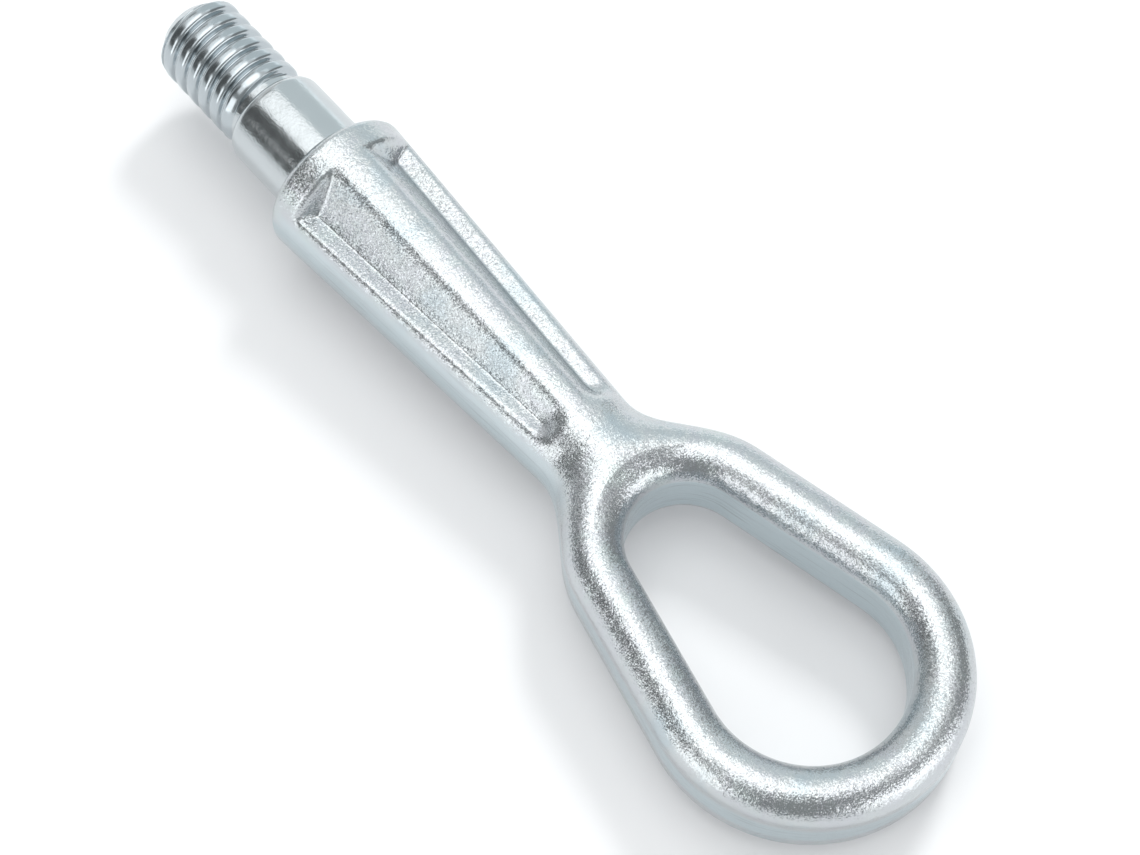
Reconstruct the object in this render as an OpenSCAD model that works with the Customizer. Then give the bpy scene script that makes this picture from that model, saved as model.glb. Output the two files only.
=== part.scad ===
// Screw-in towing eye, one steel forging with a machined end: a coarse round thread, a plain collar,
// a tapered shank with four forged pockets, and a closed pear-shaped eye.
// X runs along the shank towards the eye and Z is square to the eye.
// The origin is on the axis, where the collar meets the shoulder of the boss.

/* [Thread] */
// Outside diameter of the thread
thread_d = 16; // [15:0.5:17]
// Distance from one turn to the next
thread_pitch = 3.175; // [2.8:0.025:3.6]
// Depth of the groove
thread_depth = 1.3; // [1:0.1:1.5]
// Part of the pitch that the barrel-shaped crest takes
crest_share = 0.72; // [0.6:0.02:0.8]
// How far the crest falls away at its two edges
crest_fall = 0.35; // [0.1:0.05:0.6]
// Length from the flat tip to the plain neck behind the thread
thread_len = 21.2; // [17:0.1:26]
// Diameter of the flat tip
tip_d = 10.8; // [9:0.2:12]
// Diameter of the plain neck behind the thread
relief_d = 14.4; // [14:0.1:14.8]
// Length of the plain neck behind the thread
relief_len = 1.3; // [1:0.1:4]

/* [Collar] */
// Outside diameter of the collar
collar_d = 17.8; // [17:0.1:18.4]
// Length of the collar from the shoulder, with its rounded edge
collar_len = 15.1; // [10:0.1:20]
// Length of the rounded leading edge
collar_edge = 1.8; // [1:0.1:2.5]

/* [Shank] */
// Diameter that the taper would have at the shoulder
boss_d = 26.6; // [24:0.2:30]
// Length of the rounded shoulder
shoulder_len = 3; // [2.5:0.1:4.5]
// Width of the flat ring between the collar and the rounded shoulder
shoulder_land = 0.1; // [0.1:0.05:0.8]
// Diameter of the neck, at the end of the taper
neck_d = 17.9; // [16:0.1:20]
// Length of the taper, from the shoulder to the neck
shank_len = 66.5; // [60:0.5:68]

/* [Pockets] */
// Distance from the shoulder to the pockets
pocket_start = 7; // [6:0.5:10]
// Distance from the shoulder to the far end of the pockets
pocket_end = 63; // [50:0.5:64]
// Width of the ridge between two pockets, at the boss
ridge_start_w = 6.6; // [4:0.2:8]
// Width of the ridge between two pockets, at the neck
ridge_end_w = 4.4; // [3:0.2:6]
// Thickness of the side rib, square to the eye, at the boss
rib_start_t = 11.4; // [9:0.2:13]
// Thickness of the side rib, square to the eye, at the neck
rib_end_t = 11.9; // [9:0.1:13]
// Fall of the pocket floor from the rib towards the ridge, in degrees
floor_fall = 8; // [0:1:15]
// Slope of the side of the ridge, in degrees
ridge_slope = 56; // [50:1:70]
// Slope of the end wall of a pocket at the boss, in degrees
start_slope = 66; // [45:1:75]
// Slope of the end wall of a pocket at the neck, in degrees
end_slope = 46; // [35:1:65]
// Size of the rounding of the pocket edges
edge_round = 0.9; // [0.6:0.1:1.6]
// Size of the rounding in the bottom of the pocket, along the ridge and at the neck
floor_round = 1.5; // [1:0.1:3]
// Size of the rounding at the foot of the end wall at the boss
corner_round = 0.6; // [0.4:0.1:1.5]

/* [Eye] */
// Distance from the shoulder to the centre of the far arc of the eye
eye_reach = 114.4; // [110:0.2:122]
// Distance between the centres of the two arcs of the eye
eye_centres = 26; // [20:0.5:30]
// Inside radius of the eye next to the shank
eye_near_r = 9.7; // [9:0.1:11]
// Inside radius of the eye at its far end
eye_far_r = 15.5; // [13:0.1:18]
// Width of the limb of the eye, across its two trimmed walls
limb_w = 9.2; // [8:0.1:11]
// Thickness of the limb of the eye, square to its plane
limb_t = 15.2; // [13:0.2:17]
// Depth that the trimming takes off each wall of the limb
trim = 0.06; // [0.02:0.01:0.15]
// Size of the fillet between the shank and the eye, in the plane of the eye
side_fillet = 8; // [5:0.5:10]
// Size of the fillet over the crown, where the ridge runs onto the eye
crown_fillet = 3; // [1:0.5:4]
// Size of the fillet between the shank and the inner wall of the eye
inner_fillet = 0.5; // [0.3:0.1:1]
// Size of the rounding that ends the shank inside the eye
crown_round = 6; // [4:0.5:8]

/* [Hidden] */

thread_r = thread_d / 2;
collar_r = collar_d / 2;
relief_r = relief_d / 2;
boss_r = boss_d / 2;
neck_r = neck_d / 2;
land_r = collar_r + shoulder_land;
thread_end = collar_len + relief_len;
tip = thread_end + thread_len;
// Depth that one solid runs into the next
lap = 2;

// The eye follows a centre line of two arcs, joined by two straight limbs
near_x = eye_reach - eye_centres;
near_mid_r = eye_near_r + limb_w / 2;
far_mid_r = eye_far_r + limb_w / 2;
flare = asin((far_mid_r - near_mid_r) / eye_centres);
crown_x = near_x - near_mid_r;
cap_r = limb_w / 2 + trim;
cap_z = limb_t / 2 - cap_r;
// How far the shank runs past the crown of the eye
past_crown = 1;

// Halvings in the search for the surface along a ray
search_steps = 15;

function clamp(v, low, high) = min(max(v, low), high);
function mix(a, b, t) = a + (b - a) * clamp(t, 0, 1);

// The larger or the smaller of two values, with a rounded change of size k from one to the other
function soft_max(a, b, k) = max(a, b) + pow(max(k - abs(a - b), 0), 2) / (4 * k);
function soft_min(a, b, k) = -soft_max(-a, -b, k);

// Radius of the tapered shank with its rounded shoulder
function taper_r(x) = mix(boss_r, neck_r, x / shank_len);
function shank_r(x) = taper_r(x) - (boss_r - land_r) * pow(1 - clamp(x / shoulder_len, 0, 1), 2);

// Section of a pocket at x: half ridge, half rib, and the points on the taper where the ridge and the rib end
function pocket_t(x) = (x - pocket_start) / (pocket_end - pocket_start);
function half_ridge(x) = mix(ridge_start_w, ridge_end_w, pocket_t(x)) / 2;
function half_rib(x) = mix(rib_start_t, rib_end_t, pocket_t(x)) / 2;
function ridge_z(x) = sqrt(pow(taper_r(x), 2) - pow(half_ridge(x), 2));
function rib_y(x) = sqrt(pow(taper_r(x), 2) - pow(half_rib(x), 2));

// The point [y, z] where the side of the ridge meets the floor of the pocket
function crease(x) = let (
    rise = ridge_z(x) - half_rib(x) + rib_y(x) * tan(floor_fall),
    y = (half_ridge(x) * sin(ridge_slope) + rise * cos(ridge_slope))
        / (sin(ridge_slope) + tan(floor_fall) * cos(ridge_slope))
) [y, half_rib(x) - (rib_y(x) - y) * tan(floor_fall)];

// Distance to the pocket in the quarter of the point, less than 0 inside it
function floor_gap(x, y, z) = (half_rib(x) - (rib_y(x) - y) * tan(floor_fall) - z) * cos(floor_fall);
function side_gap(x, y, z) = (half_ridge(x) - y) * sin(ridge_slope) + (ridge_z(x) - z) * cos(ridge_slope);
function start_gap(x, r) = (pocket_start - x) * sin(start_slope) + (taper_r(x) - r) * cos(start_slope);
function end_gap(x, r) = (x - pocket_end) * sin(end_slope) + (taper_r(x) - r) * cos(end_slope);
function pocket_gap(x, y, z) = let (
    trough = soft_max(floor_gap(x, y, z), side_gap(x, y, z), floor_round)
) soft_max(
    soft_max(trough, end_gap(x, norm([y, z])), floor_round), start_gap(x, norm([y, z])), corner_round
);

// Distance to the shank, which ends inside the near arc of the eye
function shank_gap(x, y, z) = soft_max(
    soft_max(norm([y, z]) - shank_r(x), -pocket_gap(x, abs(y), abs(z)), edge_round),
    x - crown_x - past_crown,
    crown_round
);

// Distance to the centre line of the eye in its plane, and to its limb
function line_gap(x, y) = let (
    along = (x - near_x) * cos(flare) + abs(y) * sin(flare)
) along < 0 ? norm([x - near_x, y]) - near_mid_r
    : along > eye_centres * cos(flare) ? norm([x - eye_reach, y]) - far_mid_r
    : abs(y) * cos(flare) - (x - near_x) * sin(flare) - near_mid_r;
function eye_gap(x, y, z) = let (
    d = abs(line_gap(x, y))
) max(norm([d, max(abs(z) - cap_z, 0)]) - cap_r, d - limb_w / 2);

// Distance to the forging; the fillet is wide at the sides, small over the crown and least inside the eye
function fillet(x, y, z) = mix(
    mix(crown_fillet, side_fillet, pow(y / max(norm([y, z]), 0.01), 2)),
    inner_fillet,
    -line_gap(x, y) / (limb_w / 2)
);
function forged_gap(p) = soft_min(
    shank_gap(p[0], p[1], p[2]), eye_gap(p[0], p[1], p[2]), fillet(p[0], p[1], p[2])
);

// The point of the surface on a ray from c along d, between the distances low and high
function surface_point(c, d, low, high, steps) = let (
    half = (low + high) / 2
) steps == 0 ? c + d * half
    : forged_gap(c + d * half) < 0 ? surface_point(c, d, half, high, steps - 1)
    : surface_point(c, d, low, half, steps - 1);

// Stations along the shank
shoulder_x = [for (t = [0, 0.16, 0.32, 0.48, 0.64, 0.8, 1]) shoulder_len * t];
start_x = [for (d = [-0.8, -0.3, 0, 0.4, 0.8, 1.3, 1.8, 2.5]) pocket_start + d];
floor_x = [for (t = [0.15, 0.3, 0.45, 0.6, 0.75]) mix(pocket_start + 4, pocket_end - 5, t)];
end_x = [for (d = [4.4, 3.6, 2.8, 2.1, 1.4, 0.7, 0.1, -0.9]) pocket_end - d];
neck_x = [for (t = [0.75, 0.55, 0.38, 0.25, 0.13, 0]) crown_x - (crown_x - pocket_end - 0.9) * t];
shank_x = concat(shoulder_x, start_x, floor_x, end_x, neck_x);

// Stations round one half of the eye, by the angle of the outward direction from the shank
fan_a = [10, 20, 30, 40, 50, 60];
turn_a = 90 - flare;
near_a = [for (t = [0.5, 1]) mix(60, turn_a, t)];
far_a = [for (i = [14:-1:0]) 180 - (180 - turn_a) * i / 14];
function outward(a) = [-cos(a), a == 180 ? 0 : sin(a)];
function on_near(a) = [near_x, 0] + near_mid_r * outward(a);
function on_far(a) = [eye_reach, 0] + far_mid_r * outward(a);
fan_target = [near_x, 0] + (near_mid_r + limb_w / 2) * outward(60);

// A station is [core, outward direction]; the fan turns its rays from the shank to the limb
fan = [for (a = fan_a) let (
    core = on_near(a),
    reach = mix([crown_x, near_mid_r], fan_target, a / 60) - core
) [core, reach / norm(reach)]];
limb = concat(
    [for (a = near_a) [on_near(a), outward(a)]],
    [[(on_near(turn_a) + on_far(turn_a)) / 2, outward(turn_a)]],
    [for (a = far_a) [on_far(a), outward(a)]]
);
outer = concat([for (x = shank_x) [[x, 0], [0, 1]]], fan, limb);
inner = concat([[[crown_x, 0], [1, 0]]], [for (a = fan_a) [on_near(a), -outward(a)]],
    [for (s = limb) [s[0], -s[1]]]);

// Angles of the rays from straight up to level, following the edges of the pocket
function parts(a, b, t) = [for (v = t) mix(a, b, v)];
function shank_angles(x) = let (
    ridge = asin(half_ridge(x) / taper_r(x)),
    low = atan2(crease(x)[0], crease(x)[1]),
    rib = acos(half_rib(x) / taper_r(x))
) concat(
    parts(0, ridge, [0, 0.6]),
    parts(ridge, low, [0, 0.2, 0.5, 0.8]),
    parts(low, rib, [0, 0.22, 0.5, 0.8]),
    parts(rib, 90, [0, 0.2, 0.55])
);
eye_angles = [for (i = [0:12]) i < 12 ? i * 4.8 : 74];
rays = len(eye_angles);
function both(list) = concat(list, [90], [for (i = [len(list) - 1:-1:0]) 180 - list[i]]);
function blend(i) = clamp((i - len(shank_x) + 6) / 8, 0, 1);
function outer_angles(i) = let (
    s = shank_angles(min(outer[i][0][0], pocket_end))
) both([for (k = [0:rays - 1]) mix(s[k], eye_angles[k], blend(i))]);
edge_a = atan2(limb_w / 2, cap_z + sqrt(pow(cap_r, 2) - pow(limb_w / 2, 2)));
inner_angles = both([0, 11, 22, 33, 43, edge_a]);

function ray(a, out) = a == 0 ? [0, 0, 1] : a == 180 ? [0, 0, -1]
    : [out[0] * sin(a), out[1] * sin(a), cos(a)];
function ring(station, angles) = [for (a = angles) surface_point(
    [station[0][0], station[0][1], 0], ray(a, station[1]), 0, boss_r + 4, search_steps
)];
outer_grid = [for (i = [0:len(outer) - 1]) ring(outer[i], outer_angles(i))];
inner_grid = [for (s = inner) ring(s, inner_angles)];

// The two halves of a grid as one list of points, and its faces; flip turns the faces inside out
function flat(grid, side) = [for (row = grid) for (p = row) [p[0], side * p[1], p[2]]];
function strip(rows, cols, first, flip) = [for (i = [0:rows - 2]) for (j = [0:cols - 2]) let (
    a = first + i * cols + j,
    b = a + cols
) each flip ? [[a, b, b + 1], [a, b + 1, a + 1]] : [[a, b + 1, b], [a, a + 1, b + 1]]];

outer_cols = len(outer_grid[0]);
inner_cols = len(inner_grid[0]);
outer_count = len(outer_grid) * outer_cols;
inner_count = len(inner_grid) * inner_cols;
half_count = outer_count + inner_count;

module forging() {
    polyhedron(
        points = concat(
            flat(outer_grid, 1), flat(inner_grid, 1),
            flat(outer_grid, -1), flat(inner_grid, -1), [[0, 0, 0]]
        ),
        faces = concat(
            strip(len(outer_grid), outer_cols, 0, false),
            strip(len(inner_grid), inner_cols, outer_count, true),
            strip(len(outer_grid), outer_cols, half_count, true),
            strip(len(inner_grid), inner_cols, half_count + outer_count, false),
            [for (j = [0:outer_cols - 2]) [2 * half_count, j + 1, j]],
            [for (j = [0:outer_cols - 2]) [2 * half_count, half_count + j, half_count + j + 1]]
        )
    );
}

// Plain neck and collar as one turned profile, from inside the thread to inside the boss
module collar() {
    edge = [for (a = [0:10:90]) [
        collar_len - collar_edge * (1 - cos(a)),
        relief_r + (collar_r - relief_r) * sin(a)
    ]];
    rotate([0, -90, 0])
        rotate_extrude($fn = 96)
            polygon([for (p = concat(
                [[-lap, 0], [thread_end, 0], [thread_end, relief_r]],
                edge,
                [[-lap, collar_r]]
            )) [p[1], p[0]]]);
}

// How far the thread lies under its crest line, at the part u of a turn away from that line
half_crest = crest_share / 2;
function groove(u) = abs(u) < half_crest
    ? crest_fall * pow(abs(u) / half_crest, 2.5)
    : mix(crest_fall, thread_depth, sin(90 * (abs(u) - half_crest) / (0.5 - half_crest)));

// Rows of points follow the right-hand helix; at both ends they are pressed flat against an end plane
side_u = concat([for (t = [0.55, 0.86, 1]) half_crest * t], [mix(half_crest, 0.5, 0.4)]);
form_u = concat([0], side_u, [0.5], [for (i = [len(side_u) - 1:-1:0]) 1 - side_u[i]]);
form_n = len(form_u);
first_crest = 0.578;
turn_n = 24;
turns = ceil(thread_len / thread_pitch + 2);
core_r = relief_r - 0.15;
function crest_env(x) = min(thread_r, tip_d / 2 + tip - x, mix(core_r, thread_r, (x - thread_end) / 5));
function root_env(x) = mix(core_r, 0, (x - thread_end) * 0.8);
function thread_point(row, j) = let (
    u = form_u[row % form_n],
    turn = floor(row / form_n) + u + j / turn_n + first_crest - 2,
    x = clamp(thread_end + turn * thread_pitch, thread_end - 1, tip),
    r = min(crest_env(x), max(thread_r - groove(u > 0.5 ? u - 1 : u), root_env(x)))
) [-x, r * sin(360 * j / turn_n), r * cos(360 * j / turn_n)];
thread_rows = turns * form_n + 1;
function thread_index(row, j) = j < turn_n ? row * turn_n + j : min(row + form_n, thread_rows - 1) * turn_n;

module thread() {
    ends = thread_rows * turn_n;
    polyhedron(
        points = concat(
            [for (row = [0:thread_rows - 1]) for (j = [0:turn_n - 1]) thread_point(row, j)],
            [[1 - thread_end, 0, 0], [-tip, 0, 0]]
        ),
        faces = concat(
            [for (row = [0:thread_rows - 2]) for (j = [0:turn_n - 1]) let (
                a = thread_index(row, j),
                b = thread_index(row, j + 1),
                c = thread_index(row + 1, j + 1),
                d = thread_index(row + 1, j)
            ) each [[a, c, b], [a, d, c]]],
            [for (j = [0:turn_n - 1]) [ends, j, (j + 1) % turn_n]],
            [for (j = [0:turn_n - 1]) let (
                last = (thread_rows - 1) * turn_n
            ) [ends + 1, last + (j + 1) % turn_n, last + j]]
        )
    );
}

module tow_eye() {
    color([0.74, 0.78, 0.79])
        union() {
            forging();
            collar();
            thread();
        }
}

tow_eye();
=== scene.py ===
import math

import bmesh
import bpy
import numpy as np
from mathutils import Matrix, Vector


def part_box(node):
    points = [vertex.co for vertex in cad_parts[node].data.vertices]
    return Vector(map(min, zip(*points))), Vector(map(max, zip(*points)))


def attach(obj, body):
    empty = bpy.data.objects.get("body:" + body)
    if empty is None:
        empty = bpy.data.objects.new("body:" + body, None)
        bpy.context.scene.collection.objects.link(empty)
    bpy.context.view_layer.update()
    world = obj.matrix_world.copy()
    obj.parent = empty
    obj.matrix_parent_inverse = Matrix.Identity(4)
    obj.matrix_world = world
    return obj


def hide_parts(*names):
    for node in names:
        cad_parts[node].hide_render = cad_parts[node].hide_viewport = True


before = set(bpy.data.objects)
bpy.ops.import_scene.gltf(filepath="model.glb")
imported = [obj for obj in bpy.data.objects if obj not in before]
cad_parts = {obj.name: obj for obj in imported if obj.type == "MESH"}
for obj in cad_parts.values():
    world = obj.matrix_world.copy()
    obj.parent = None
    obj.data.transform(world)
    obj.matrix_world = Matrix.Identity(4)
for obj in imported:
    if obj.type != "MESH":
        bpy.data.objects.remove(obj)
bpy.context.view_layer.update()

# Forged shank and eye
# One drop forging of carbon steel: a round boss, a tapered shank with four pockets between its
# ridges and side ribs, and a closed eye. Its web and flash are trimmed off, then it is zinc plated.
mm = 0.001
boss_r = 13.3
neck_r = 8.95
land_r = 9.0
taper_len = 66.5
shoulder_len = 3.0
pocket_start = 7.0
pocket_end = 63.0
ridge_w = (6.6, 4.4)
rib_t = (11.4, 11.9)
floor_fall = math.radians(8)
ridge_slope = math.radians(56)
start_slope = math.radians(66)
end_slope = math.radians(46)
edge_round = 0.9
crease_round = 0.35
end_round = 1.7
corner_round = 0.6
limb_w = 9.2
limb_t = 15.2
trim = 0.06
eye_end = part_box("tow_eye")[1][0] / mm
eye_centres = 26.0
eye_near_r = 9.7
eye_far_r = 15.5
eye_reach = eye_end - eye_far_r - limb_w
side_fillet = 8.0
crown_fillet = 3.0
inner_fillet = 0.5
crown_round = 6.0
shank_past_crown = 1.0
zinc_inset = 0.015
longest_ray = boss_r + 4
halvings = 26
tiny = 1e-9
weld = 1e-7
sharp_angle = math.radians(40)

near_x = eye_reach - eye_centres
near_mid_r = eye_near_r + limb_w / 2
far_mid_r = eye_far_r + limb_w / 2
flare = math.asin((far_mid_r - near_mid_r) / eye_centres)
crown_x = near_x - near_mid_r
cap_r = limb_w / 2 + trim
cap_z = limb_t / 2 - cap_r


def rounded_max(a, b, size):
    """The larger of two distances, with a rounded change of this size between them."""
    return np.maximum(a, b) + np.maximum(size - np.abs(a - b), 0) ** 2 / (4 * size)


def taper_radius(x):
    """Radius of the tapered shank in millimetres, without its rounded shoulder."""
    return boss_r + (neck_r - boss_r) * np.clip(x / taper_len, 0, 1)


def shank_radius(x):
    """Radius of the shank with its rounded shoulder."""
    return taper_radius(x) - (boss_r - land_r) * (1 - np.clip(x / shoulder_len, 0, 1)) ** 2


def pocket_share(x):
    """How far along the pockets a point lies, from 0 to 1."""
    return np.clip((x - pocket_start) / (pocket_end - pocket_start), 0, 1)


def half_ridge(x):
    """Half the width of the ridge between two pockets."""
    return (ridge_w[0] + (ridge_w[1] - ridge_w[0]) * pocket_share(x)) / 2


def half_rib(x):
    """Half the thickness of the rib along each side."""
    return (rib_t[0] + (rib_t[1] - rib_t[0]) * pocket_share(x)) / 2


def pocket_distance(x, y, z):
    """How far a point lies from the nearest pocket, less than 0 inside it."""
    r = taper_radius(x)
    ridge_top = np.sqrt(r**2 - half_ridge(x) ** 2)
    rib_edge = np.sqrt(r**2 - half_rib(x) ** 2)
    over = r - np.hypot(y, z)
    floor = (half_rib(x) - (rib_edge - y) * math.tan(floor_fall) - z) * math.cos(floor_fall)
    side = (half_ridge(x) - y) * math.sin(ridge_slope) + (ridge_top - z) * math.cos(ridge_slope)
    start = (pocket_start - x) * math.sin(start_slope) + over * math.cos(start_slope)
    end = (x - pocket_end) * math.sin(end_slope) + over * math.cos(end_slope)
    trough = rounded_max(rounded_max(floor, side, crease_round), end, end_round)
    return rounded_max(trough, start, corner_round)


def eye_line_distance(x, y):
    """Distance in the plane of the eye from the middle line of its limb, less than 0 inside."""
    along = (x - near_x) * math.cos(flare) + np.abs(y) * math.sin(flare)
    near = np.hypot(x - near_x, y) - near_mid_r
    far = np.hypot(x - eye_reach, y) - far_mid_r
    straight = np.abs(y) * math.cos(flare) - (x - near_x) * math.sin(flare) - near_mid_r
    return np.where(along < 0, near, np.where(along > eye_centres * math.cos(flare), far, straight))


def forged_distance(points):
    """How far each point lies from the skin of the forging, less than 0 in the steel."""
    x, y, z = points[..., 0], points[..., 1], points[..., 2]
    r = np.hypot(y, z)
    shank = rounded_max(r - shank_radius(x), -pocket_distance(x, np.abs(y), np.abs(z)), edge_round)
    shank = rounded_max(shank, x - crown_x - shank_past_crown, crown_round)
    line = eye_line_distance(x, y)
    across = np.abs(line)
    limb = np.hypot(across, np.maximum(np.abs(z) - cap_z, 0)) - cap_r
    limb = np.maximum(limb, across - limb_w / 2)
    fillet = crown_fillet + (side_fillet - crown_fillet) * (y / np.maximum(r, 0.01)) ** 2
    fillet += (inner_fillet - fillet) * np.clip(-line / (limb_w / 2), 0, 1)
    return zinc_inset - rounded_max(-shank, -limb, fillet)


def skin_points(cores, ways):
    """Where rays from the cores along the given ways leave the steel."""
    low = np.zeros(cores.shape[:-1])
    high = np.full(cores.shape[:-1], longest_ray)
    for _ in range(halvings):
        half = (low + high) / 2
        inside = forged_distance(cores + ways * half[..., None]) < 0
        low = np.where(inside, half, low)
        high = np.where(inside, high, half)
    return cores + ways * ((low + high) / 2)[..., None]


def eased(count):
    """Shares from 0 to 1, closer together at both ends."""
    return (1 - np.cos(np.linspace(0, math.pi, count + 1)[:-1])) / 2


def outward(angle):
    """Way out of the eye in its plane, by the angle from the shank."""
    way = np.stack([-np.cos(angle), np.sin(angle), np.zeros_like(angle)], -1)
    way[np.abs(way) < tiny] = 0
    return way


def limb_point(centre_x, radius, angle):
    """A point on an arc in the plane of the eye."""
    return np.array([centre_x, 0, 0]) + radius * outward(angle)


# The rays start on the axis of the shank and on the middle line of the limb, in one half of the
# forging. They stand closest where the pockets start and end.
start_zone = (6.0, 10.5)
end_zone = (58.0, 64.5)
shank_x = np.concatenate(
    [
        shoulder_len * np.linspace(0, 1, 17)[:-1],
        np.linspace(shoulder_len, start_zone[0], 5)[:-1],
        np.linspace(start_zone[0], start_zone[1], 30)[:-1],
        np.linspace(start_zone[1], end_zone[0], 40)[:-1],
        np.linspace(end_zone[0], end_zone[1], 34)[:-1],
        np.linspace(end_zone[1], crown_x, 28),
    ]
)
turn = math.pi / 2 - flare
fan_end = math.radians(60)
fan_angle = np.linspace(0, fan_end, 37)[1:]
near_angle = np.linspace(fan_end, turn, 9)[1:]
far_angle = np.linspace(turn, math.pi, 60)
straight_share = np.linspace(0, 1, 12)[1:-1, None]
near_turn = limb_point(near_x, near_mid_r, np.array(turn))
far_turn = limb_point(eye_reach, far_mid_r, np.array(turn))
limb_core = np.concatenate(
    [
        limb_point(near_x, near_mid_r, near_angle),
        near_turn + (far_turn - near_turn) * straight_share,
        limb_point(eye_reach, far_mid_r, far_angle),
    ]
)
straight_way = outward(np.full(len(straight_share), turn))
limb_way = np.concatenate([outward(near_angle), straight_way, outward(far_angle)])
fan_core = limb_point(near_x, near_mid_r, fan_angle)
fan_share = (fan_angle / fan_end)[:, None]
fan_target = np.array([crown_x, near_mid_r, 0]) * (1 - fan_share) + fan_share * limb_point(
    near_x, near_mid_r + limb_w / 2, np.array(fan_end)
)
fan_way = fan_target - fan_core
fan_way /= np.linalg.norm(fan_way, axis=1, keepdims=True)
shank_core = np.stack([shank_x, 0 * shank_x, 0 * shank_x], 1)
outer_core = np.concatenate([shank_core, fan_core, limb_core])
outer_way = np.concatenate([np.tile([0.0, 1.0, 0.0], (len(shank_x), 1)), fan_way, limb_way])
inner_core = np.concatenate([[[crown_x, 0, 0]], fan_core, limb_core])
inner_way = np.concatenate([[[1.0, 0.0, 0.0]], -outward(fan_angle), -limb_way])

# On the shank the rays follow the edges of the pockets, and on the eye they spread out evenly
quarter_steps = (9, 15, 15, 9)
even_lead = 24
even_rows = 36
x = np.minimum(outer_core[:, 0], pocket_end)
r = taper_radius(x)
ridge_top = np.sqrt(r**2 - half_ridge(x) ** 2)
rib_edge = np.sqrt(r**2 - half_rib(x) ** 2)
rise = ridge_top - half_rib(x) + rib_edge * math.tan(floor_fall)
crease_y = (half_ridge(x) * math.sin(ridge_slope) + rise * math.cos(ridge_slope)) / (
    math.sin(ridge_slope) + math.tan(floor_fall) * math.cos(ridge_slope)
)
crease_z = half_rib(x) - (rib_edge - crease_y) * math.tan(floor_fall)
marks = [0 * x, np.arcsin(half_ridge(x) / r), np.arctan2(crease_y, crease_z)]
marks += [np.arccos(half_rib(x) / r), 0 * x + math.pi / 2]
quarter = [
    a[:, None] + (b - a)[:, None] * eased(count)
    for a, b, count in zip(marks, marks[1:], quarter_steps)
]
quarter = np.concatenate(quarter, 1)
even = np.linspace(0, math.pi / 2, quarter.shape[1] + 1)[:-1]
blend = np.clip((np.arange(len(x)) - len(shank_x) + even_lead) / even_rows, 0, 1)[:, None]
quarter = quarter * (1 - blend) + even * blend
level = np.full((len(x), 1), math.pi / 2)
outer_angle = np.concatenate([quarter, level, math.pi - quarter[:, ::-1]], 1)

# Inside the eye the round of the limb ends in an edge, with the upright wall below it
wall_half_z = cap_z + math.sqrt(cap_r**2 - (limb_w / 2) ** 2)
edge_angle = math.atan2(limb_w / 2, wall_half_z)
past_edge = edge_angle + 0.02
wall_angles = np.linspace(edge_angle + 0.1, math.pi / 2, 4)[:-1]
inner_quarter = np.concatenate([np.linspace(0, edge_angle, 17), [past_edge], wall_angles])
inner_angle = np.concatenate([inner_quarter, [math.pi / 2], math.pi - inner_quarter[::-1]])
inner_angle = np.tile(inner_angle, (len(inner_core), 1))


def skin_grid(core, way, angle):
    """Points of the skin on fans of rays, by the angle of each ray from straight up."""
    sine = np.where(np.sin(angle) < tiny, 0, np.sin(angle))
    ways = way[:, None, :] * sine[..., None]
    ways[..., 2] = np.cos(angle)
    return skin_points(np.broadcast_to(core[:, None, :], ways.shape), ways)


def add_grid(mesh, grid, side, flip):
    """Add a grid of points in millimetres, mirrored to one side of the shank."""
    rows = [[mesh.verts.new((p[0] * mm, side * p[1] * mm, p[2] * mm)) for p in row] for row in grid]
    for row, after in zip(rows, rows[1:]):
        for i in range(len(row) - 1):
            corners = (row[i], after[i], after[i + 1], row[i + 1])
            mesh.faces.new(corners if flip else corners[::-1])
    return rows


def shade(mesh):
    """Smooth faces, but for the edges where they meet at a sharp angle."""
    for face in mesh.faces:
        face.smooth = True
    for edge in mesh.edges:
        if len(edge.link_faces) == 2 and edge.calc_face_angle(0) > sharp_angle:
            edge.smooth = False


def add_piece(name, mesh):
    """Put a finished mesh in the scene under this name."""
    piece = bpy.data.objects.new(name, bpy.data.meshes.new(name))
    mesh.to_mesh(piece.data)
    mesh.free()
    bpy.context.scene.collection.objects.link(piece)
    return piece


outer_grid = skin_grid(outer_core, outer_way, outer_angle)
inner_grid = skin_grid(inner_core, inner_way, inner_angle)
mesh = bmesh.new()
front = mesh.verts.new((0, 0, 0))
for side in (1, -1):
    rows = add_grid(mesh, outer_grid, side, side < 0)
    for a, b in zip(rows[0], rows[0][1:]):
        mesh.faces.new((front, b, a) if side > 0 else (front, a, b))
    add_grid(mesh, inner_grid, side, side > 0)
bmesh.ops.remove_doubles(mesh, verts=mesh.verts, dist=weld)
shade(mesh)
forging = add_piece("forged_shank_and_eye", mesh)

# Trimming left smooth steel on the inner wall of the eye, in a narrow band round its outside and
# along the sides of the shank. The lengths say where each of these starts and how soon it fades.
wall_edge = 0.12
wall_edge_fade = 0.08
wall_lap = 0.2
band_half = 2.6
band_fade = 1.2
side_half = 5.0
side_out = 6.0
side_fade = 1.5
side_start_fade = 2.0
side_end_fade = 6.0
side_smoothness = 0.7
skin_at = np.empty(3 * len(forging.data.vertices))
forging.data.vertices.foreach_get("co", skin_at)
x, y, z = (skin_at.reshape(-1, 3) / mm).T
line = eye_line_distance(x, y)
on_wall = np.clip((np.abs(line) - limb_w / 2 + wall_edge) / wall_edge_fade, 0, 1)
on_wall *= np.abs(z) < wall_half_z + wall_lap
on_wall *= np.where(line < 0, 1, np.clip((band_half - np.abs(z)) / band_fade, 0, 1))
on_side = np.clip((side_half - np.abs(z)) / side_fade, 0, 1)
on_side *= np.clip((np.abs(y) - side_out) / side_fade, 0, 1)
on_side *= np.clip((x - shoulder_len) / side_start_fade, 0, 1)
on_side *= np.clip((crown_x - x) / side_end_fade, 0, 1)
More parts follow.
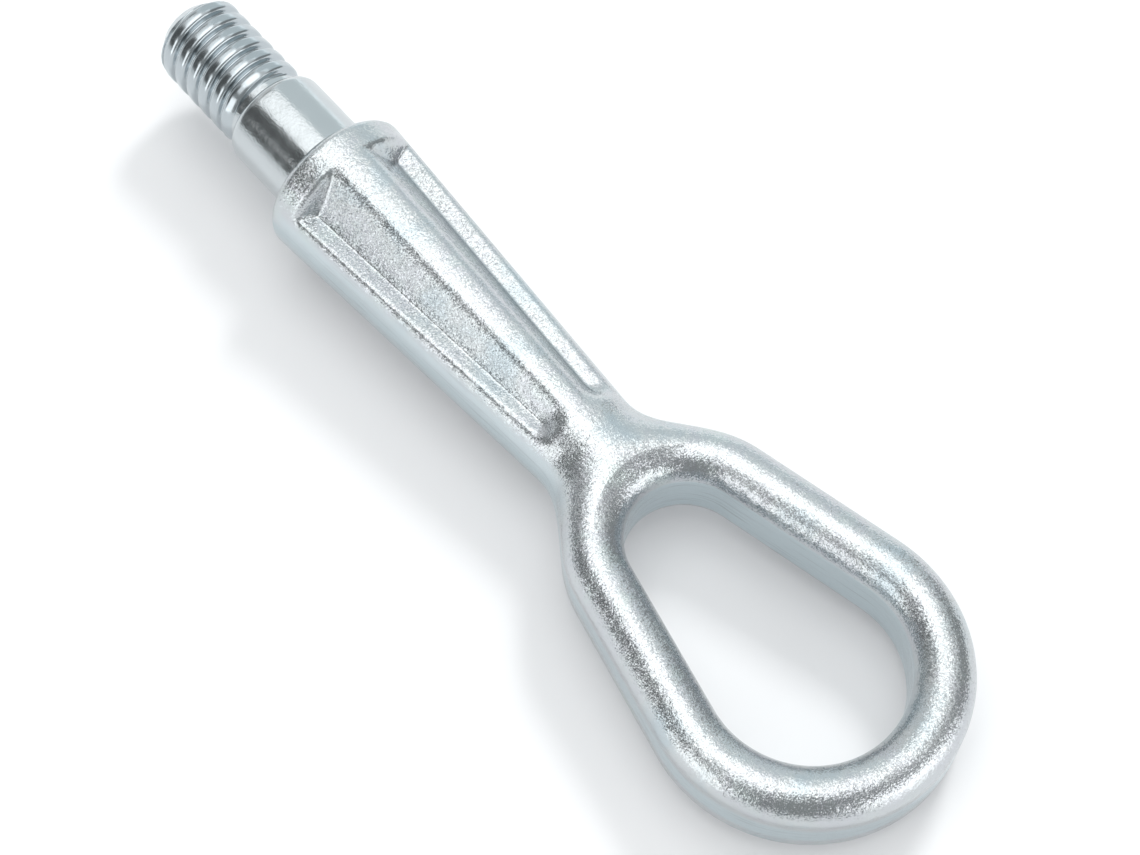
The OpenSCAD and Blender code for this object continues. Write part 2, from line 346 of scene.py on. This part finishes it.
smoothness = np.maximum(on_wall, side_smoothness * on_side)
# This share also carries the lighter base colour of the trimmed steel, partly painted light against
# the shade inside the eye
trimmed = forging.data.attributes.new("trimmed", "FLOAT", "POINT")
trimmed.data.foreach_set("value", smoothness.astype(np.float32))

# The skin is zinc over the grain that the dies leave, with a tone and sheen that vary a little
plated = bpy.data.materials.new("forged_zinc_skin")
plated.use_nodes = True
nodes, links = plated.node_tree.nodes, plated.node_tree.links
skin = nodes["Principled BSDF"]
skin.inputs["Metallic"].default_value = 1.0
skin.inputs["IOR"].default_value = 1.45
place = nodes.new("ShaderNodeTexCoord")


def noise(size_mm, detail, roughness=0.5, at=None):
    """A noise by the size of its spots, on the object's own coordinates unless others are given."""
    node = nodes.new("ShaderNodeTexNoise")
    node.inputs["Scale"].default_value = 1 / (size_mm * mm)
    node.inputs["Detail"].default_value = detail
    node.inputs["Roughness"].default_value = roughness
    links.new(place.outputs["Object"] if at is None else at, node.inputs["Vector"])
    return node


def spread(value, low, high, start=0.0, end=1.0, steps="LINEAR"):
    """Low where the value is at the start or before it, high where it is at the end or past it."""
    node = nodes.new("ShaderNodeMapRange")
    node.interpolation_type = steps
    node.inputs["From Min"].default_value = start
    node.inputs["From Max"].default_value = end
    node.inputs["To Min"].default_value = low
    node.inputs["To Max"].default_value = high
    links.new(value, node.inputs["Value"])
    return node.outputs["Result"]


def product(first, second):
    """Two values multiplied."""
    node = nodes.new("ShaderNodeMath")
    node.operation = "MULTIPLY"
    links.new(first, node.inputs[0])
    links.new(second, node.inputs[1])
    return node.outputs[0]


grain = noise(0.3, 2, 0.6)
pebbles = noise(0.8, 3, 0.55)
hammered = noise(4, 2)
cloud = noise(9, 3)
tone = nodes.new("ShaderNodeValToRGB")
tone.color_ramp.elements[0].position = 0.3
tone.color_ramp.elements[0].color = (0.51, 0.57, 0.60, 1)
tone.color_ramp.elements[1].position = 0.7
tone.color_ramp.elements[1].color = (0.56, 0.61, 0.61, 1)
for position, tint in ((0.45, (0.57, 0.60, 0.61, 1)), (0.56, (0.565, 0.585, 0.61, 1))):
    tone.color_ramp.elements.new(position).color = tint
links.new(cloud.outputs["Fac"], tone.inputs["Fac"])
links.new(spread(pebbles.outputs["Fac"], 0.16, 0.26, 0.3, 0.7), skin.inputs["Roughness"])

# Trimming takes most of the grain away and leaves fine lines along the wall, some of them dark. The
# trimmed steel also gets a lighter, bluer base colour. This is partly its smoother finish and
# partly painted light that makes up for the shade and the mirrored table inside the eye.
trimmed_and_painted_light_tint = (0.56, 0.64, 0.67, 1)
scored_tint = (0.30, 0.34, 0.36, 1)
smooth = nodes.new("ShaderNodeAttribute")
smooth.attribute_name = "trimmed"
rough = spread(smooth.outputs["Fac"], 1.0, 0.2)
stretch = nodes.new("ShaderNodeMapping")
stretch.inputs["Scale"].default_value = (0.03, 0.03, 1.0)
links.new(place.outputs["Object"], stretch.inputs["Vector"])
trim_lines = noise(0.4, 3, at=stretch.outputs["Vector"])
scored = spread(trim_lines.outputs["Fac"], 0.0, 0.45, 0.56, 0.68)
scored_share = product(scored, smooth.outputs["Fac"])
colour = tone.outputs["Color"]
for share, tint in ((smooth.outputs["Fac"], trimmed_and_painted_light_tint), (scored_share, scored_tint)):
    tinted = nodes.new("ShaderNodeMix")
    tinted.data_type = "RGBA"
    links.new(share, tinted.inputs[0])
    links.new(colour, tinted.inputs[6])
    tinted.inputs[7].default_value = tint
    colour = tinted.outputs[2]
links.new(colour, skin.inputs["Base Color"])


def vector_node(operation, *terms):
    """A Vector Math node on fixed vectors or other nodes' outputs."""
    node = nodes.new("ShaderNodeVectorMath")
    node.operation = operation
    for slot, term in zip(node.inputs, terms):
        if isinstance(term, tuple):
            slot.default_value = term
        else:
            links.new(term, slot)
    return node


# Each crystal of the grain is a small facet with a tilt of its own
crystal_size = 0.19 * mm
crystals = nodes.new("ShaderNodeTexVoronoi")
crystals.inputs["Scale"].default_value = 1 / crystal_size
links.new(place.outputs["Object"], crystals.inputs["Vector"])
each_way = vector_node("SUBTRACT", crystals.outputs["Color"], (0.5, 0.5, 0.5))
tilt = vector_node("SCALE", each_way.outputs[0])
links.new(spread(smooth.outputs["Fac"], 0.24, 0.05), tilt.inputs["Scale"])
facing = nodes.new("ShaderNodeNewGeometry")
tilted = vector_node("ADD", facing.outputs["Normal"], tilt.outputs[0])
faceted = vector_node("NORMALIZE", tilted.outputs[0])
relief = faceted.outputs[0]
for height, height_mm in (
    (hammered.outputs["Fac"], 0.12),
    (product(pebbles.outputs["Fac"], rough), 0.06),
    (product(grain.outputs["Fac"], rough), 0.055),
    (product(trim_lines.outputs["Fac"], smooth.outputs["Fac"]), 0.05),
):
    bump = nodes.new("ShaderNodeBump")
    bump.inputs["Distance"].default_value = height_mm * mm
    bump.inputs["Strength"].default_value = 1.0
    links.new(height, bump.inputs["Height"])
    links.new(relief, bump.inputs["Normal"])
    relief = bump.outputs["Normal"]
links.new(relief, skin.inputs["Normal"])
forging.data.materials.append(plated)
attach(forging, "root")
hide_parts("tow_eye")

# Turned collar and neck
# The stem is turned down on a lathe after forging, so the collar runs true and has a satin finish.
# A narrow plain neck lets the thread roller run out before the collar.
collar_r = 8.9
neck_groove_r = 7.2
collar_len = 15.1
collar_edge = 1.8
thread_start = 16.4
in_boss = 1.5
inner_bevel = 0.4
around = 192
stem = [(in_boss, 0.0), (in_boss, collar_r - inner_bevel)]
stem += [(in_boss - t * inner_bevel, collar_r - inner_bevel * (1 - t)) for t in (0.5, 1)]
stem += [(-x, collar_r) for x in np.linspace(0, collar_len - collar_edge, 12)]
stem += [
    (
        -collar_len + collar_edge * (1 - math.cos(a)),
        neck_groove_r + (collar_r - neck_groove_r) * math.sin(a),
    )
    for a in np.linspace(math.pi / 2, 0, 14)[1:]
]
stem += [(-x, neck_groove_r) for x in np.linspace(collar_len, thread_start, 5)[1:]]
stem += [(-thread_start, 0.0)]
mesh = bmesh.new()
rings = [
    [
        mesh.verts.new((x * mm, r * mm * math.sin(a), r * mm * math.cos(a)))
        for a in np.linspace(0, 2 * math.pi, around, endpoint=False)
    ]
    for x, r in stem
]
for ring, after in zip(rings, rings[1:]):
    for i in range(around):
        j = (i + 1) % around
        mesh.faces.new((ring[i], ring[j], after[j], after[i]))
bmesh.ops.remove_doubles(mesh, verts=mesh.verts, dist=weld)
bmesh.ops.recalc_face_normals(mesh, faces=mesh.faces)
shade(mesh)
collar = add_piece("turned_collar", mesh)

turned = bpy.data.materials.new("turned_zinc_collar")
turned.use_nodes = True
nodes, links = turned.node_tree.nodes, turned.node_tree.links
skin = nodes["Principled BSDF"]
skin.inputs["Metallic"].default_value = 1.0
skin.inputs["Base Color"].default_value = (0.55, 0.585, 0.60, 1)
place = nodes.new("ShaderNodeTexCoord")
stretch = nodes.new("ShaderNodeMapping")
stretch.inputs["Scale"].default_value = (1.0, 0.04, 0.04)
links.new(place.outputs["Object"], stretch.inputs["Vector"])
lathe_marks = noise(0.25, 3, at=stretch.outputs["Vector"])
haze = noise(2.2, 4, 0.6)
links.new(spread(haze.outputs["Fac"], 0.14, 0.24, 0.3, 0.7), skin.inputs["Roughness"])
drawn = nodes.new("ShaderNodeMapping")
drawn.inputs["Scale"].default_value = (0.6, 1.0, 1.0)
links.new(place.outputs["Object"], drawn.inputs["Vector"])
rubbed = noise(0.36, 1, at=drawn.outputs["Vector"])
turned_skin = nodes.new("ShaderNodeBump")
turned_skin.inputs["Distance"].default_value = 0.004 * mm
links.new(lathe_marks.outputs["Fac"], turned_skin.inputs["Height"])
bump = nodes.new("ShaderNodeBump")
bump.inputs["Distance"].default_value = 0.02 * mm
links.new(rubbed.outputs["Fac"], bump.inputs["Height"])
links.new(turned_skin.outputs["Normal"], bump.inputs["Normal"])
links.new(bump.outputs["Normal"], skin.inputs["Normal"])
collar.data.materials.append(turned)
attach(collar, "root")
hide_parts("tow_eye")

# Rolled thread
# A coarse right-hand round thread, rolled into the stem so that its turns are smooth all over,
# with a bevelled tip and a run-out into the neck.
tree = bpy.data.node_groups.new("rolled_thread", "GeometryNodeTree")
tree.interface.new_socket("Geometry", in_out="OUTPUT", socket_type="NodeSocketGeometry")
thread_sizes = {
    "Radius": 8.0 * mm,
    "Pitch": 3.175 * mm,
    "Depth": 1.0 * mm,
    "Crest fall": 0.3 * mm,
    "Crest half": 0.33,
    "Length": 22.19 * mm,
    "Tip radius": 5.4 * mm,
    "Neck radius": 7.05 * mm,
    "Run-out": 2.2 * mm,
    "First crest": 0.893,
}
crest_power = 4
run_out_start = 0.7 * mm
fill_slope = 5
thread_lap = 1.0
rows_along = 420
rows_around = 121
sockets = {}
for name in thread_sizes:
    socket = tree.interface.new_socket(name, in_out="INPUT", socket_type="NodeSocketFloat")
    sockets[name] = socket.identifier
socket = tree.interface.new_socket("Finish", in_out="INPUT", socket_type="NodeSocketMaterial")
sockets["Finish"] = socket.identifier
nodes, links = tree.nodes, tree.links
given = nodes.new("NodeGroupInput")
result = nodes.new("NodeGroupOutput")


def sum_node(operation, *terms):
    """A Math node on numbers, named inputs or other nodes' outputs."""
    node = nodes.new("ShaderNodeMath")
    node.operation = operation
    for slot, term in zip(node.inputs, terms):
        if isinstance(term, str):
            links.new(given.outputs[term], slot)
        elif isinstance(term, (int, float)):
            slot.default_value = term
        else:
            links.new(term, slot)
    return node.outputs[0]


# A flat sheet of points, rolled up round the axis; its two ends close in flat discs
sheet = nodes.new("GeometryNodeMeshGrid")
sheet.inputs["Size X"].default_value = 1
sheet.inputs["Size Y"].default_value = 1
sheet.inputs["Vertices X"].default_value = rows_along
sheet.inputs["Vertices Y"].default_value = rows_around
where = nodes.new("GeometryNodeInputPosition")
split = nodes.new("ShaderNodeSeparateXYZ")
links.new(where.outputs["Position"], split.inputs["Vector"])
share = sum_node("ADD", split.outputs["X"], 0.5)
round_share = sum_node("ADD", split.outputs["Y"], 0.5)
whole = sum_node("ADD", sum_node("ADD", "Length", "Neck radius"), "Tip radius")
along = sum_node("SUBTRACT", sum_node("MULTIPLY", share, whole), "Neck radius")
turns = sum_node("SUBTRACT", sum_node("DIVIDE", along, "Pitch"), round_share)
phase = sum_node("FRACT", sum_node("SUBTRACT", turns, "First crest"))
from_crest = sum_node("SUBTRACT", 0.5, sum_node("ABSOLUTE", sum_node("SUBTRACT", phase, 0.5)))
crest_share = sum_node("MINIMUM", sum_node("DIVIDE", from_crest, "Crest half"), 1)
barrel = sum_node("POWER", crest_share, crest_power)
groove_share = sum_node(
    "DIVIDE",
    sum_node("MAXIMUM", sum_node("SUBTRACT", from_crest, "Crest half"), 0),
    sum_node("SUBTRACT", 0.5, "Crest half"),
)
groove_depth = sum_node("SUBTRACT", "Depth", "Crest fall")
groove_cut = sum_node(
    "MULTIPLY", sum_node("SINE", sum_node("MULTIPLY", groove_share, math.pi / 2)), groove_depth
)
cut = sum_node("ADD", sum_node("MULTIPLY", barrel, "Crest fall"), groove_cut)
body = sum_node("SUBTRACT", "Radius", cut)
past_neck = sum_node("SUBTRACT", along, run_out_start)
run = sum_node("MINIMUM", sum_node("DIVIDE", past_neck, "Run-out"), 1)
run = sum_node("SINE", sum_node("MULTIPLY", run, math.pi / 2))
climb = sum_node(
    "ADD", "Neck radius", sum_node("MULTIPLY", run, sum_node("SUBTRACT", "Radius", "Neck radius"))
)
fill = sum_node("SUBTRACT", "Neck radius", sum_node("MULTIPLY", past_neck, fill_slope))
left = sum_node("SUBTRACT", "Length", along)
bevel = sum_node("ADD", "Tip radius", left)
radius = sum_node("MINIMUM", sum_node("MAXIMUM", body, fill), climb)
radius = sum_node("MINIMUM", radius, bevel)
radius = sum_node("MINIMUM", radius, sum_node("ADD", "Neck radius", along))
radius = sum_node("MAXIMUM", radius, 0)
angle = sum_node("MULTIPLY", round_share, 2 * math.pi)
reach = sum_node("MINIMUM", sum_node("MAXIMUM", along, 0), "Length")
rolled = nodes.new("ShaderNodeCombineXYZ")
links.new(sum_node("SUBTRACT", (thread_lap - thread_start) * mm, reach), rolled.inputs["X"])
links.new(sum_node("MULTIPLY", radius, sum_node("SINE", angle)), rolled.inputs["Y"])
links.new(sum_node("MULTIPLY", radius, sum_node("COSINE", angle)), rolled.inputs["Z"])
move = nodes.new("GeometryNodeSetPosition")
links.new(sheet.outputs["Mesh"], move.inputs["Geometry"])
links.new(rolled.outputs["Vector"], move.inputs["Position"])
seam = nodes.new("GeometryNodeMergeByDistance")
seam.inputs["Distance"].default_value = 0.001 * mm
links.new(move.outputs["Geometry"], seam.inputs["Geometry"])
real = nodes.new("GeometryNodeRealizeInstances")
links.new(seam.outputs["Geometry"], real.inputs["Geometry"])
finish = nodes.new("GeometryNodeSetMaterial")
links.new(real.outputs["Geometry"], finish.inputs["Geometry"])
links.new(given.outputs["Finish"], finish.inputs["Material"])
links.new(finish.outputs["Geometry"], result.inputs["Geometry"])

bright = bpy.data.materials.new("rolled_zinc_thread")
bright.use_nodes = True
nodes, links = bright.node_tree.nodes, bright.node_tree.links
skin = nodes["Principled BSDF"]
skin.inputs["Metallic"].default_value = 1.0
skin.inputs["Base Color"].default_value = (0.48, 0.525, 0.55, 1)
place = nodes.new("ShaderNodeTexCoord")
haze = noise(1.6, 4, 0.6)
links.new(spread(haze.outputs["Fac"], 0.13, 0.22, 0.3, 0.7), skin.inputs["Roughness"])
bump = nodes.new("ShaderNodeBump")
bump.inputs["Distance"].default_value = 0.02 * mm
bump.inputs["Strength"].default_value = 0.5
links.new(haze.outputs["Fac"], bump.inputs["Height"])
links.new(bump.outputs["Normal"], skin.inputs["Normal"])

blank = bpy.data.objects.new("thread_blank", bpy.data.meshes.new("thread_blank"))
bpy.context.scene.collection.objects.link(blank)
roller = blank.modifiers.new("thread", "NODES")
roller.node_group = tree
for name, value in thread_sizes.items():
    roller[sockets[name]] = value
roller[sockets["Finish"]] = bright
shaped = blank.evaluated_get(bpy.context.evaluated_depsgraph_get())
thread_mesh = bpy.data.meshes.new_from_object(shaped)
blank.modifiers.remove(roller)
bpy.data.objects.remove(blank)
mesh = bmesh.new()
mesh.from_mesh(thread_mesh)
if mesh.calc_volume(signed=True) < 0:
    bmesh.ops.reverse_faces(mesh, faces=mesh.faces)
for face in mesh.faces:
    face.smooth = True
mesh.to_mesh(thread_mesh)
mesh.free()
thread = bpy.data.objects.new("rolled_thread", thread_mesh)
bpy.context.scene.collection.objects.link(thread)
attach(thread, "root")
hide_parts("tow_eye")

# Floor
# A plain white table top. The eye lies on it on the rim of the boss and on the far end of the
# limb, so the table stands at a small angle to the axis of the shank.
boss_touch = Vector((4.5 * mm, 0, -13.02 * mm))
eye_touch = Vector(((eye_reach + far_mid_r) * mm, 0, -limb_t / 2 * mm))
floor_mesh = bmesh.new()
lie = (eye_touch - boss_touch).normalized()
side = Vector((0, 1, 0))
boss_to_middle = 0.06
half = 8.0
middle = boss_touch + lie * boss_to_middle
corners = [
    middle + lie * (half * a) + side * (half * b)
    for a, b in ((-1, -1), (1, -1), (1, 1), (-1, 1))
]
floor_mesh.faces.new([floor_mesh.verts.new(corner) for corner in corners])
floor = add_piece("table_top", floor_mesh)
table = bpy.data.materials.new("white_table")
table.use_nodes = True
nodes, links = table.node_tree.nodes, table.node_tree.links
skin = nodes["Principled BSDF"]
skin.inputs["Base Color"].default_value = (0.76, 0.765, 0.77, 1)
skin.inputs["Roughness"].default_value = 0.9
skin.inputs["Specular IOR Level"].default_value = 0.1
skin.inputs["Emission Color"].default_value = (0.16, 0.16, 0.165, 1)
ray = nodes.new("ShaderNodeLightPath")
seen = None
for kind in ("Is Camera Ray", "Is Glossy Ray", "Is Transmission Ray"):
    either = nodes.new("ShaderNodeMath")
    either.operation = "MAXIMUM"
    links.new(ray.outputs[kind], either.inputs[0])
    if seen:
        links.new(seen, either.inputs[1])
    seen = either.outputs[0]
links.new(seen, skin.inputs["Emission Strength"])
floor.data.materials.append(table)

# Light
# Soft boxes stand round the table, and the metal mirrors their evenly glowing faces. One small
# bright box casts the shadow and is left out of the mirroring. A grey room closes them in.
focus = Vector((0.05, 0, 0))
lamp_distance = 1.2


def soft_box(name, azimuth, elevation, across, tall, glow):
    """A soft box at these angles in degrees as seen from the eye, its face turned to it."""
    lamp = bpy.data.lights.new(name, "AREA")
    lamp.shape = "RECTANGLE"
    lamp.size = across
    lamp.size_y = tall
    lamp.energy = glow * math.pi * across * tall
    box = bpy.data.objects.new(name, lamp)
    flat = math.cos(math.radians(elevation))
    way = Vector(
        (
            flat * math.cos(math.radians(azimuth)),
            flat * math.sin(math.radians(azimuth)),
            math.sin(math.radians(elevation)),
        )
    )
    aim = (-way).to_track_quat("-Z", "Y").to_matrix().to_4x4()
    box.matrix_world = Matrix.Translation(focus + way * lamp_distance) @ aim
    bpy.context.scene.collection.objects.link(box)
    return box


soft_box("overhead_box", 178, 78, 0.98, 1.1, 1.35)
soft_box("overhead_spill", 85, 74, 1.3, 1.4, 0.5)
soft_box("near_overhead", 264, 60, 0.62, 0.42, 0.9)
soft_box("end_box", 15, 12, 1.1, 1.0, 1.7)
soft_box("near_side_box", 268, 14, 0.75, 0.9, 1.5)
cool = soft_box("right_box", 124, 24, 1.15, 1.28, 0.53)
cool.data.color = (0.86, 0.97, 1.0)
soft_box("left_box", 244, 27, 0.34, 0.26, 0.5)
soft_box("tip_box", 170, 20, 0.75, 1.05, 0.45)
soft_box("far_side_box", 198, 38, 0.45, 0.45, 0.3)
key = soft_box("shadow_box", 112, 44, 0.25, 0.25, 30.0)
key.visible_glossy = False

# The room is grey, with a narrow dark strip that rises beyond the left side of the table
room = bpy.data.worlds.new("studio")
bpy.context.scene.world = room
room.use_nodes = True
nodes, links = room.node_tree.nodes, room.node_tree.links
back = nodes["Background"]
way = nodes.new("ShaderNodeTexCoord")
turned_way = nodes.new("ShaderNodeMapping")
turned_way.inputs["Rotation"].default_value = (0, 0, math.radians(-231))
links.new(way.outputs["Generated"], turned_way.inputs["Vector"])
split = nodes.new("ShaderNodeSeparateXYZ")
links.new(turned_way.outputs["Vector"], split.inputs["Vector"])


def edge(value, near, far):
    """1 at the near value and before it, easing to 0 at the far one."""
    return spread(value, 1.0, 0.0, near, far, "SMOOTHSTEP")


aside = nodes.new("ShaderNodeMath")
aside.operation = "ABSOLUTE"
links.new(split.outputs["Y"], aside.inputs[0])


dark = product(edge(split.outputs["X"], 0.1, 0.0), edge(aside.outputs[0], 0.12, 0.36))
dark = product(dark, edge(split.outputs["Z"], 0.72, 0.84))
glow = spread(dark, 0.34, 0.12)

# Past the tip of the thread the white table sweeps up a little above the level of the eye
past_tip = vector_node("DOT_PRODUCT", turned_way.outputs["Vector"], (0.83, -0.56, 0.0))
sweep = product(edge(split.outputs["Z"], 0.04, 0.14), edge(past_tip.outputs["Value"], 0.25, -0.05))
swept = nodes.new("ShaderNodeMix")
links.new(sweep, swept.inputs["Factor"])
links.new(glow, swept.inputs["A"])
swept.inputs["B"].default_value = 0.95
links.new(swept.outputs["Result"], back.inputs["Strength"])
back.inputs["Color"].default_value = (0.95, 0.99, 1, 1)

# Camera
# It looks down on the eye from the far end, with the shank running up to the left.
camera = bpy.data.objects.new("camera", bpy.data.cameras.new("camera"))
bpy.context.scene.collection.objects.link(camera)
stand = (0.18770, -0.11651, 0.32780)
right = Vector((0.64795254, 0.76140537, 0.02047831))
up = -Vector((0.68058898, -0.56668805, -0.46439562))
back_way = right.cross(up)
turned_to = Matrix((right, up, back_way)).transposed().to_4x4()
camera.matrix_world = Matrix.Translation(stand) @ turned_to
frame_width_px = 1140
focal_length_px = 2394.6
camera.data.sensor_width = 36
camera.data.lens = focal_length_px / frame_width_px * camera.data.sensor_width
camera.data.clip_start = 0.01
bpy.context.scene.camera = camera

bpy.context.scene.view_settings.view_transform = "Standard"
